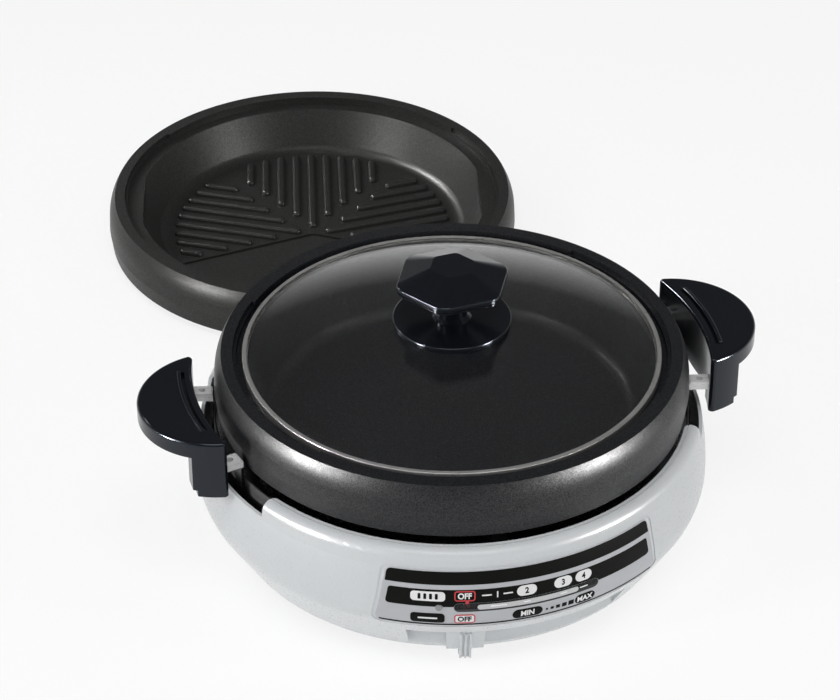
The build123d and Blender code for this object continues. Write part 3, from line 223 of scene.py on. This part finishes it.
class Shader:
    """A material's node tree, with short calls for its usual nodes."""

    def __init__(self, name):
        self.material = bpy.data.materials.new(name)
        self.material.use_nodes = True
        self.tree = self.material.node_tree
        self.bsdf = self.tree.nodes["Principled BSDF"]
        self.place = self.tree.nodes.new("ShaderNodeTexCoord").outputs["Object"]

    def put(self, **values):
        for key, value in values.items():
            self.bsdf.inputs[key.replace("_", " ")].default_value = value

    def link(self, source, key):
        self.tree.links.new(source, self.bsdf.inputs[key])

    def noise(self, scale, detail=2.0, rough=0.5, vector=None):
        node = self.tree.nodes.new("ShaderNodeTexNoise")
        node.inputs["Scale"].default_value = scale
        node.inputs["Detail"].default_value = detail
        node.inputs["Roughness"].default_value = rough
        self.tree.links.new(vector or self.place, node.inputs["Vector"])
        return node.outputs["Fac"]

    def lines(self, scale, stretch):
        """Noise that can be drawn out into lines."""
        node = self.tree.nodes.new("ShaderNodeMapping")
        node.inputs["Scale"].default_value = stretch
        self.tree.links.new(self.place, node.inputs["Vector"])
        return self.noise(scale, 3.0, 0.6, node.outputs["Vector"])

    def cells(self, scale):
        node = self.tree.nodes.new("ShaderNodeTexVoronoi")
        node.inputs["Scale"].default_value = scale
        self.tree.links.new(self.place, node.inputs["Vector"])
        return node.outputs["Color"]

    def height(self):
        node = self.tree.nodes.new("ShaderNodeSeparateXYZ")
        self.tree.links.new(self.place, node.inputs["Vector"])
        return node.outputs["Z"]

    def ramp(self, source, stops):
        node = self.tree.nodes.new("ShaderNodeValToRGB")
        elements = node.color_ramp.elements
        while len(elements) < len(stops):
            elements.new(0.5)
        for element, (place, colour) in zip(elements, stops):
            element.position = place
            element.color = (*colour, 1.0)
        self.tree.links.new(source, node.inputs["Fac"])
        return node.outputs["Color"]

    def span(self, source, low, high, source_low=NOISE_LOW, source_high=NOISE_HIGH):
        node = self.tree.nodes.new("ShaderNodeMapRange")
        node.inputs["From Min"].default_value = source_low
        node.inputs["From Max"].default_value = source_high
        node.inputs["To Min"].default_value = low
        node.inputs["To Max"].default_value = high
        self.tree.links.new(source, node.inputs["Value"])
        return node.outputs["Result"]

    def cloud(self, colour, scale, dark, light):
        """A slow change of the colour between two shades of it."""
        slow = self.noise(scale, 3.0)
        stops = [(NOISE_LOW, shade(colour, dark)), (NOISE_HIGH, shade(colour, light))]
        self.link(self.ramp(slow, stops), "Base Color")

    def gloss(self, source, rough, spread):
        """Roughness that follows a noise, between two shares of the look's own."""
        self.link(self.span(source, rough * spread[0], rough * spread[1]), "Roughness")

    def bump(self, source, depth, strength=0.5):
        node = self.tree.nodes.new("ShaderNodeBump")
        node.inputs["Strength"].default_value = strength
        node.inputs["Distance"].default_value = depth
        self.tree.links.new(source, node.inputs["Height"])
        self.link(node.outputs["Normal"], "Normal")


def srgb(red, green, blue):
    """Linear values of a colour written as 0 to 255."""
    def one(value):
        value /= 255.0
        return value / 12.92 if value <= 0.04045 else ((value + 0.055) / 1.055) ** 2.4
    return one(red), one(green), one(blue)


def shade(colour, factor):
    return tuple(value * factor for value in colour)


def moulded(name, colour, rough, grain=900.0, depth=20 * MICRON, vary=0.06,
            coat=0.0, specular=0.5, tint=(1.0, 1.0, 1.0)):
    """Moulded plastic: a faint cloud in the colour, fine grain in gloss and bump."""
    s = Shader(name)
    s.cloud(colour, PLASTIC_CLOUD, 1.0 - vary, 1.0 + vary)
    fine = s.noise(grain)
    s.gloss(fine, rough, PLASTIC_GLOSS)
    s.bump(fine, depth)
    s.put(Coat_Weight=coat, Coat_Roughness=COAT_ROUGH)
    s.put(Specular_IOR_Level=specular, Specular_Tint=(*tint, 1.0))
    return s.material


def metal(name, colour, rough, stretch=EVEN, grain=METAL_GRAIN, depth=10 * MICRON, vary=0.12, metallic=1.0):
    """Bare metal with a drawn or spun grain."""
    s = Shader(name)
    s.cloud(colour, METAL_CLOUD, 1.0 - vary, 1.0 + vary / 2)
    lines = s.lines(grain, stretch)
    s.gloss(lines, rough, METAL_GLOSS)
    s.bump(lines, depth, METAL_BUMP)
    s.put(Metallic=metallic)
    return s.material


def strap_metal(name, colour, painted_shade, rough):
    """Bright drawn strip, with painted shade: black below a height, where it lies in shadow against the
    case.
    """
    s = Shader(name)
    unshaded = s.span(s.height(), 0.0, 1.0, STRAP_SHADE_Z - SHADE_EDGE, STRAP_SHADE_Z + SHADE_EDGE)
    s.link(s.ramp(unshaded, [(0.0, painted_shade), (1.0, colour)]), "Base Color")
    s.link(s.span(unshaded, 0.0, STRAP_METALLIC, 0.0, 1.0), "Metallic")
    lines = s.lines(METAL_GRAIN, DRAWN)
    s.gloss(lines, rough, METAL_GLOSS)
    s.bump(lines, DRAWN_DEPTH, METAL_BUMP)
    return s.material


def coated(name, colour, rough, gleam):
    """Non-stick coating: dark satin whose fine flakes sparkle only where light falls on them."""
    s = Shader(name)
    flakes = s.cells(COATING_FLAKES)
    s.link(s.ramp(flakes, [(0.5, colour), (0.98, shade(colour, FLAKE_SHADE))]), "Base Color")
    s.link(s.span(flakes, gleam * FLAKE_GLEAM[0], gleam * FLAKE_GLEAM[1], 0.2, 0.8), "Specular IOR Level")
    skin = s.noise(COATING_SKIN, 3.0, 0.7)
    s.gloss(skin, rough, COATING_GLOSS)
    s.bump(skin, COATING_DEPTH, COATING_BUMP)
    s.put(Metallic=COATING_METALLIC, Specular_Tint=COATING_TINT)
    return s.material


def clear(name, colour, ior, rough=0.01):
    """Glass with a faint smear in its gloss."""
    s = Shader(name)
    s.gloss(s.noise(GLASS_SMEAR, 4.0), rough, GLASS_GLOSS)
    s.put(Base_Color=(*colour, 1.0), Transmission_Weight=1.0, IOR=ior)
    return s.material


def smoked(name, colour, rough, alpha):
    """A dark see-through strip."""
    s = Shader(name)
    s.gloss(s.noise(FILM_CLOUD), rough, FILM_GLOSS)
    s.put(Base_Color=(*colour, 1.0), Alpha=alpha)
    return s.material


PALE = srgb(208, 211, 213)
# Black of the painted case; on the straps' lower part it also serves as painted shade
CASE_BLACK_AND_STRAP_SHADE = srgb(20, 20, 21)
FILM = {"grain": 1500.0, "depth": 10 * MICRON}
looks = {
    "guard": moulded("guard", PALE, 0.3, 700.0, 15 * MICRON, vary=0.02, coat=0.1, specular=0.35),
    "lever": moulded("lever", PALE, 0.3, 700.0, 4 * MICRON, vary=0.02, coat=0.15, specular=0.35),
    "panel": moulded("panel", srgb(182, 184, 188), 0.33, vary=0.04, **FILM),
    "window": smoked("window", srgb(26, 26, 28), 0.12, alpha=0.45),
    "lamp": moulded("lamp", srgb(140, 141, 143), 0.25, 600.0, 10 * MICRON, vary=0.1, coat=0.5),
    "zinc": metal("zinc", srgb(170, 173, 178), 0.38, grain=120.0, depth=20 * MICRON, vary=0.2),
    "screw": metal("screw", srgb(176, 176, 178), 0.3),
    "steel": metal("steel", srgb(172, 171, 169), 0.36, DRAWN, depth=DRAWN_DEPTH, vary=0.05, metallic=0.7),
    # Straps: bright steel, with painted shade in black on their lower part against the case
    "strap": strap_metal("strap", srgb(244, 244, 244), CASE_BLACK_AND_STRAP_SHADE, 0.3),
    "case": moulded("case", CASE_BLACK_AND_STRAP_SHADE, 0.5, 500.0, 10 * MICRON, vary=0.1),
    "reflector": metal("reflector", srgb(205, 207, 210), 0.3, SPUN, depth=MICRON, vary=0.04),
    "sheath": metal("sheath", srgb(92, 90, 92), 0.45, grain=300.0, depth=20 * MICRON, vary=0.3),
    "ceramic": moulded("ceramic", srgb(226, 222, 212), 0.6, 400.0, 30 * MICRON, vary=0.05),
    "black_plastic": moulded("black_plastic", srgb(28, 28, 30), 0.45, 800.0, 30 * MICRON, vary=0.15),
    "brass": metal("brass", srgb(202, 176, 112), 0.28),
    "lead": moulded("lead", srgb(90, 90, 94), 0.6, 500.0, 40 * MICRON, vary=0.15),
    "bakelite": moulded("bakelite", srgb(16, 18, 23), 0.17, 500.0, 8 * MICRON, vary=0.12,
                        specular=0.4, tint=(0.8, 0.88, 1.0)),
    "rubber": moulded("rubber", srgb(36, 36, 37), 0.75, 600.0, 60 * MICRON, vary=0.15),
    "pointer": moulded("pointer", srgb(196, 40, 46), 0.4, 700.0, 20 * MICRON, vary=0.05),
    "sensor": metal("sensor", srgb(196, 196, 198), 0.3),
    "nonstick": coated("nonstick", srgb(20, 22, 26), 0.4, gleam=0.32),
    "plate": coated("plate", srgb(42, 42, 41), 0.4, gleam=0.17),
    "glass": clear("glass", (0.985, 0.992, 0.99), ior=1.47),
    "silicone": moulded("silicone", srgb(222, 222, 222), 0.6, 500.0, 30 * MICRON, vary=0.03),
    "print_black": moulded("print_black", srgb(16, 18, 15), 0.35, vary=0.1, specular=0.05, **FILM),
    "print_white": moulded("print_white", srgb(232, 232, 232), 0.4, vary=0.03, **FILM),
    "print_bar": moulded("print_bar", srgb(196, 197, 198), 0.25, vary=0.04, coat=0.4, **FILM),
    "print_red": moulded("print_red", srgb(196, 44, 52), 0.4, vary=0.05, **FILM),
}

# Each node wears its slot's look; the plate and the straps have looks of their own
look_of = {part["node"]: part["material_slot"] for part in frame["record"]["subparts"]}
look_of["grill_pan"] = "plate"
for strap in ("strap_left_a", "strap_left_b", "strap_right_a", "strap_right_b"):
    look_of[strap] = "strap"
for name, obj in nodes.items():
    obj.data.materials.clear()
    obj.data.materials.append(looks[look_of[name]])


# Printing on the control panel

def panel_radius(up):
    """The panel face's distance from the axis at a height."""
    bend = ARC_BELOW if up < BELLY_Z else ARC_ABOVE
    return BELLY_R - bend + math.sqrt(bend ** 2 - (up - BELLY_Z) ** 2) + PANEL_PROUD


def panel_point(across, up, lift):
    """A place on the panel, by arc length from its middle and height."""
    radius = panel_radius(up) + lift
    turn = across / BELLY_R
    return Vector((radius * math.sin(turn), -radius * math.cos(turn), up)) * MM


def front_point(x, up, lift):
    """A place on the panel as seen straight from the front."""
    return panel_point(math.asin(x / panel_radius(up)) * BELLY_R, up, lift)


def panel_edge(up):
    """Half the panel's width at a height, seen from the front."""
    return PANEL_LOW_X + (PANEL_TOP_X - PANEL_LOW_X) * (up - PANEL_LOW_Z) / (PANEL_TOP_Z - PANEL_LOW_Z)


def arc_points(centre, radius, start, stop, steps=8):
    """Points along an arc, in degrees from sideways."""
    turns = [math.radians(start + (stop - start) * index / steps) for index in range(steps + 1)]
    return [(centre[0] + radius * math.cos(turn), centre[1] + radius * math.sin(turn)) for turn in turns]


def round_box(left, right, low, high, corner, steps=6):
    """The outline of a box with round corners."""
    middles = ((right - corner, high - corner), (left + corner, high - corner),
               (left + corner, low + corner), (right - corner, low + corner))
    points = []
    for index, middle in enumerate(middles):
        points += arc_points(middle, corner, 90.0 * index, 90.0 * (index + 1), steps)
    return points


def rounded(corners, radii, steps=6):
    """The outline of a polygon with each corner eased."""
    points = []
    for index, corner in enumerate(corners):
        spot = Vector(corner)
        back = (Vector(corners[index - 1]) - spot).normalized()
        ahead = (Vector(corners[(index + 1) % len(corners)]) - spot).normalized()
        reach = radii[index] / math.tan(back.angle(ahead) / 2)
        one = spot + back * reach
        two = spot + ahead * reach
        for step in range(steps + 1):
            share = step / steps
            points.append(tuple(one * (1 - share) ** 2 + spot * 2 * share * (1 - share) + two * share ** 2))
    return points


def band(edges, inset, radii):
    """The outline of a band across the panel that keeps a distance from its slanted sides."""
    low, high = edges
    low_x = panel_edge(low) - inset
    high_x = panel_edge(high) - inset
    return rounded([(-low_x, low), (low_x, low), (high_x, high), (-high_x, high)], radii)


def pill(ends, middle, height, corner=None):
    """The outline of a bar with round ends, or with the corner given."""
    half = height / 2
    return round_box(*ends, middle - half, middle + half, corner or half - PILL_EASE)


def flatten(curve):
    """The flat mesh of a filled curve, which is then removed."""
    holder = bpy.data.objects.new("flat", curve)
    bpy.context.collection.objects.link(holder)
    bpy.context.view_layer.update()
    mesh = bpy.data.meshes.new_from_object(holder.evaluated_get(bpy.context.evaluated_depsgraph_get()))
    shape = bmesh.new()
    shape.from_mesh(mesh)
    bpy.data.objects.remove(holder)
    bpy.data.curves.remove(curve)
    bpy.data.meshes.remove(mesh)
    return shape


def flat_shape(*outlines):
    """A filled flat mesh from closed outlines; an outline inside another is a hole."""
    curve = bpy.data.curves.new("flat", "CURVE")
    curve.dimensions = "2D"
    curve.fill_mode = "BOTH"
    for outline in outlines:
        spline = curve.splines.new("POLY")
        spline.points.add(len(outline) - 1)
        for point, (x, y) in zip(spline.points, outline):
            point.co = (x, y, 0.0, 1.0)
        spline.use_cyclic_u = True
    return flatten(curve)


def flat_pill(*size):
    """A filled bar, with the sizes that its outline takes."""
    return flat_shape(pill(*size))


def flat_text(words, x, up):
    """Filled flat lettering of the marks' height, centred and drawn in sideways."""
    curve = bpy.data.curves.new("flat", "FONT")
    curve.body = words
    curve.size = LETTER
    curve.offset = LETTER * LETTER_BOLD
    shape = flatten(curve)
    xs = [v.co.x for v in shape.verts]
    ys = [v.co.y for v in shape.verts]
    scale = LETTER / (max(ys) - min(ys))
    middle = Vector(((min(xs) + max(xs)) / 2, (min(ys) + max(ys)) / 2, 0.0))
    size = Matrix.Diagonal((scale * LETTER_NARROW, scale, 1.0, 1.0))
    shape.transform(Matrix.Translation((x, up, 0.0)) @ size @ Matrix.Translation(-middle))
    return shape


def off_frame(middle):
    """The rounded line round a word for off."""
    left, right = OFF_SPAN
    outer = pill(OFF_SPAN, middle, ROW_HEIGHT, FRAME_CORNER)
    inner = pill((left + FRAME_LINE, right - FRAME_LINE), middle, ROW_HEIGHT - 2 * FRAME_LINE,
                 FRAME_CORNER - FRAME_LINE)
    return flat_shape(outer, inner)


def lower_band():
    """The second black band, cut out round the window and the lamp."""
    outline = band(LOWER_BAND, LOWER_BAND_INSET, (LOWER_BAND_CORNER,) * 4)
    low = LOWER_BAND[0]
    window_r = WINDOW_HEIGHT / 2 + CUT_EDGE
    window_x = WINDOW_HALF - WINDOW_HEIGHT / 2
    window_turn = math.degrees(math.asin((low - WINDOW_Z) / window_r))
    lamp_r = LAMP_R + CUT_EDGE
    lamp_turn = math.degrees(math.asin((low - LAMP_Z) / lamp_r))
    notch = arc_points((LAMP_X, LAMP_Z), lamp_r, 180.0 - lamp_turn, lamp_turn)
    notch += arc_points((-window_x, WINDOW_Z), window_r, 180.0 - window_turn, 90.0)
    notch += arc_points((window_x, WINDOW_Z), window_r, 90.0, window_turn)
    first = len(outline) // 4
    return flat_shape(outline[:first] + notch + outline[first:])


def cut_grid(shape):
    """Cuts a flat shape along a grid, so that it can bend."""
    xs = [v.co.x for v in shape.verts]
    ys = [v.co.y for v in shape.verts]
    for low, high, normal in ((min(xs), max(xs), (1, 0, 0)), (min(ys), max(ys), (0, 1, 0))):
        cut = math.ceil(low / GRID_STEP) * GRID_STEP
        while cut < high:
            geometry = shape.verts[:] + shape.edges[:] + shape.faces[:]
            bmesh.ops.bisect_plane(shape, geom=geometry, plane_co=Vector(normal) * cut, plane_no=normal)
            cut += GRID_STEP


def printed(name, look, shapes, lift=PRINT_LIFT, place=panel_point):
    """One thin closed piece that lies on the panel, from flat shapes."""
    whole = bmesh.new()
    for shape in shapes:
        bmesh.ops.remove_doubles(shape, verts=shape.verts, dist=MERGE)
        cut_grid(shape)
        bmesh.ops.dissolve_degenerate(shape, edges=shape.edges, dist=SLIVER)
        shape.verts.index_update()
        spots = [v.co.copy() for v in shape.verts]
        faces = [[v.index for v in face.verts] for face in shape.faces]
        rims = [[v.index for v in edge.verts] for edge in shape.edges if len(edge.link_faces) == 1]
        front = [whole.verts.new(place(s.x, s.y, lift)) for s in spots]
        back = [whole.verts.new(place(s.x, s.y, -PRINT_SINK)) for s in spots]
        for face in faces:
            whole.faces.new([front[i] for i in face])
            whole.faces.new([back[i] for i in reversed(face)])
        for one, two in rims:
            whole.faces.new([front[one], front[two], back[two], back[one]])
        shape.free()
    bmesh.ops.recalc_face_normals(whole, faces=whole.faces)
    mesh = bpy.data.meshes.new(name)
    whole.to_mesh(mesh)
    whole.free()
    obj = bpy.data.objects.new(name, mesh)
    bpy.context.collection.objects.link(obj)
    obj.data.materials.append(looks[look])
    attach(obj, "base")


bands = [
    flat_shape(band(UPPER_BAND, UPPER_BAND_INSET, UPPER_BAND_CORNERS)),
    lower_band(),
    flat_shape(band(FOOT_LINE, FOOT_LINE_INSET, (FOOT_LINE_CORNER,) * 4)),
]
pills_white = [flat_pill(RIDGED_PILL, RIDGED_Z, RIDGED_HEIGHT, RIDGED_CORNER)]
pills_white += [flat_pill(ends, UPPER_ROW, ROW_HEIGHT) for ends in HEAT_PILLS]
pills_white += [flat_text("OFF", OFF_X, UPPER_ROW), flat_text("1", FIRST_HEAT_X, UPPER_ROW)]
pills_white += [flat_pill(ends, UPPER_ROW, FIRST_HEAT_DASH) for ends in FIRST_HEAT_DASHES]
pills_white += [flat_pill(OFF_PILL, LOWER_ROW, ROW_HEIGHT, FRAME_CORNER)]
pills_dark = [
    flat_pill(FLAT_PILL, FLAT_Z, FLAT_HEIGHT, FLAT_CORNER),
    flat_pill(LEAST_PILL, LOWER_ROW, ROW_HEIGHT),
    flat_pill(MOST_PILL, LOWER_ROW, ROW_HEIGHT),
]
for x, size in STEP_SQUARES:
    pills_dark.append(flat_pill((x - size / 2, x + size / 2), LOWER_ROW - STEP_DROP, size, SHARP_CORNER))
red = [
    off_frame(UPPER_ROW),
    off_frame(LOWER_ROW),
    flat_pill(POINTER_SPAN, POINTER_Z, POINTER_HEIGHT, SHARP_CORNER),
]
marks_dark = [flat_text(word, x, UPPER_ROW) for word, x in HEAT_XS.items()]
marks_dark += [flat_text("OFF", OFF_X, LOWER_ROW)]
for x in RIDGE_XS:
    marks_dark.append(flat_pill((x - RIDGE_HALF, x + RIDGE_HALF), RIDGED_Z, RIDGE_HEIGHT, RIDGE_CORNER))
marks_white = [
    flat_text("MIN", LEAST_X, LOWER_ROW),
    flat_text("MAX", MOST_X, LOWER_ROW),
    flat_pill(FLAT_LINE, FLAT_Z, FLAT_LINE_HEIGHT),
]
dashes = [flat_pill(ends, WINDOW_Z + WINDOW_DASH_RISE, WINDOW_DASH_HEIGHT) for ends in WINDOW_DASHES]

printed("print_bands", "print_black", bands, place=front_point)
printed("print_pills_white", "print_white", pills_white, lift=ON_BAND)
printed("print_pills_dark", "print_black", pills_dark, lift=ON_BAND)
printed("print_red", "print_red", red, lift=ON_PILL)
printed("print_marks_dark", "print_black", marks_dark, lift=ON_PILL)
printed("print_marks_white", "print_white", marks_white, lift=ON_PILL)
printed("window_bar", "print_bar", [flat_pill(WINDOW_BAR, WINDOW_Z, WINDOW_BAR_HEIGHT)])
printed("window_dashes", "print_white", dashes, lift=ON_BAND)


# Floor, world, lamps and camera

def seen_rays(tree):
    """1 for rays from the camera and for those that gloss and glass send on."""
    path = tree.nodes.new("ShaderNodeLightPath")
    total = path.outputs["Is Camera Ray"]
    for ray in ("Is Glossy Ray", "Is Transmission Ray"):
        most = tree.nodes.new("ShaderNodeMath")
        most.operation = "MAXIMUM"
        tree.links.new(total, most.inputs[0])
        tree.links.new(path.outputs[ray], most.inputs[1])
        total = most.outputs["Value"]
    return total


def floor():
    """A pale floor that is nearly white where it is seen, and keeps its shadows."""
    half = FLOOR_HALF
    mesh = bpy.data.meshes.new("floor")
    mesh.from_pydata([(-half, -half, 0), (half, -half, 0), (half, half, 0), (-half, half, 0)],
                     [], [(0, 1, 2, 3)])
    obj = bpy.data.objects.new("floor", mesh)
    obj.location.z = -FLOOR_DROP
    bpy.context.collection.objects.link(obj)
    s = Shader("floor")
    s.put(Base_Color=FLOOR_COLOUR, Roughness=FLOOR_ROUGH)
    white = s.tree.nodes.new("ShaderNodeEmission")
    share = s.tree.nodes.new("ShaderNodeMath")
    share.operation = "MULTIPLY"
    share.inputs[1].default_value = FLOOR_WHITE
    s.tree.links.new(seen_rays(s.tree), share.inputs[0])
    mix = s.tree.nodes.new("ShaderNodeMixShader")
    s.tree.links.new(share.outputs["Value"], mix.inputs["Fac"])
    s.tree.links.new(s.bsdf.outputs["BSDF"], mix.inputs[1])
    s.tree.links.new(white.outputs["Emission"], mix.inputs[2])
    s.tree.links.new(mix.outputs["Shader"], s.tree.nodes["Material Output"].inputs["Surface"])
    obj.data.materials.append(s.material)


def world():
    """Even light for matt surfaces; a sky that fades upwards for what is seen."""
    made = bpy.data.worlds.new("studio")
    bpy.context.scene.world = made
    made.use_nodes = True
    tree = made.node_tree
    light = tree.nodes["Background"]
    light.inputs["Color"].default_value = (1.0, 1.0, 1.0, 1.0)
    light.inputs["Strength"].default_value = DIFFUSE_SKY
    height = tree.nodes.new("ShaderNodeSeparateXYZ")
    tree.links.new(tree.nodes.new("ShaderNodeTexCoord").outputs["Generated"], height.inputs["Vector"])
    fade = tree.nodes.new("ShaderNodeMapRange")
    fade.inputs["From Min"].default_value = SKY_WHITE_TO
    fade.inputs["From Max"].default_value = SKY_DARK_FROM
    fade.inputs["To Min"].default_value = 1.0
    fade.inputs["To Max"].default_value = SKY_DARK
    tree.links.new(height.outputs["Z"], fade.inputs["Value"])
    seen = tree.nodes.new("ShaderNodeBackground")
    tree.links.new(fade.outputs["Result"], seen.inputs["Strength"])
    mix = tree.nodes.new("ShaderNodeMixShader")
    tree.links.new(seen_rays(tree), mix.inputs["Fac"])
    tree.links.new(light.outputs["Background"], mix.inputs[1])
    tree.links.new(seen.outputs["Background"], mix.inputs[2])
    tree.links.new(mix.outputs["Shader"], tree.nodes["World Output"].inputs["Surface"])


def lamp(name, place, target, size, watts, grid=None):
    """A soft box; one with a grid adds highlights, no other light."""
    light = bpy.data.lights.new(name, "AREA")
    light.shape = "RECTANGLE"
    light.size, light.size_y = size
    light.energy = watts
    obj = bpy.data.objects.new(name, light)
    obj.location = place
    obj.rotation_euler = (Vector(target) - Vector(place)).to_track_quat("-Z", "Y").to_euler()
    if grid:
        light.spread = grid
        obj.visible_diffuse = False
    bpy.context.collection.objects.link(obj)


def camera():
    lens = bpy.data.cameras.new("camera")
    lens.sensor_width = SENSOR_WIDTH
    lens.lens = SENSOR_WIDTH * FOCAL_PX / IMAGE_WIDTH_PX
    lens.clip_end = CAMERA_REACH
    obj = bpy.data.objects.new("camera", lens)
    obj.location = CAMERA_PLACE
    obj.rotation_euler = (math.pi / 2 - CAMERA_PITCH, 0.0, CAMERA_HEADING)
    bpy.context.collection.objects.link(obj)
    bpy.context.scene.camera = obj


floor()
world()
lamp("left", (-1.8, -0.45, 1.05), UNIT_MIDDLE, SIDE_BOX, 10.0)
lamp("right", (1.5, -1.0, 1.0), UNIT_MIDDLE, SIDE_BOX, 4.5)
lamp("top", (-0.2, -0.9, 2.4), UNIT_BACK, TOP_BOX, 21.0)
lamp("left_gloss", (-1.82, -0.26, 0.45), PAN_FRONT, GLOSS_BOX, 11.0, WIDE_GRID)
lamp("right_gloss", (1.38, -1.18, 0.45), PAN_FRONT, GLOSS_BOX, 9.5, WIDE_GRID)
lamp("back_gloss", (-1.02, 1.26, 1.08), PLATE_INSIDE, GLOSS_BOX, 3.0, NARROW_GRID)
camera()
bpy.context.scene.view_settings.view_transform = "Standard"
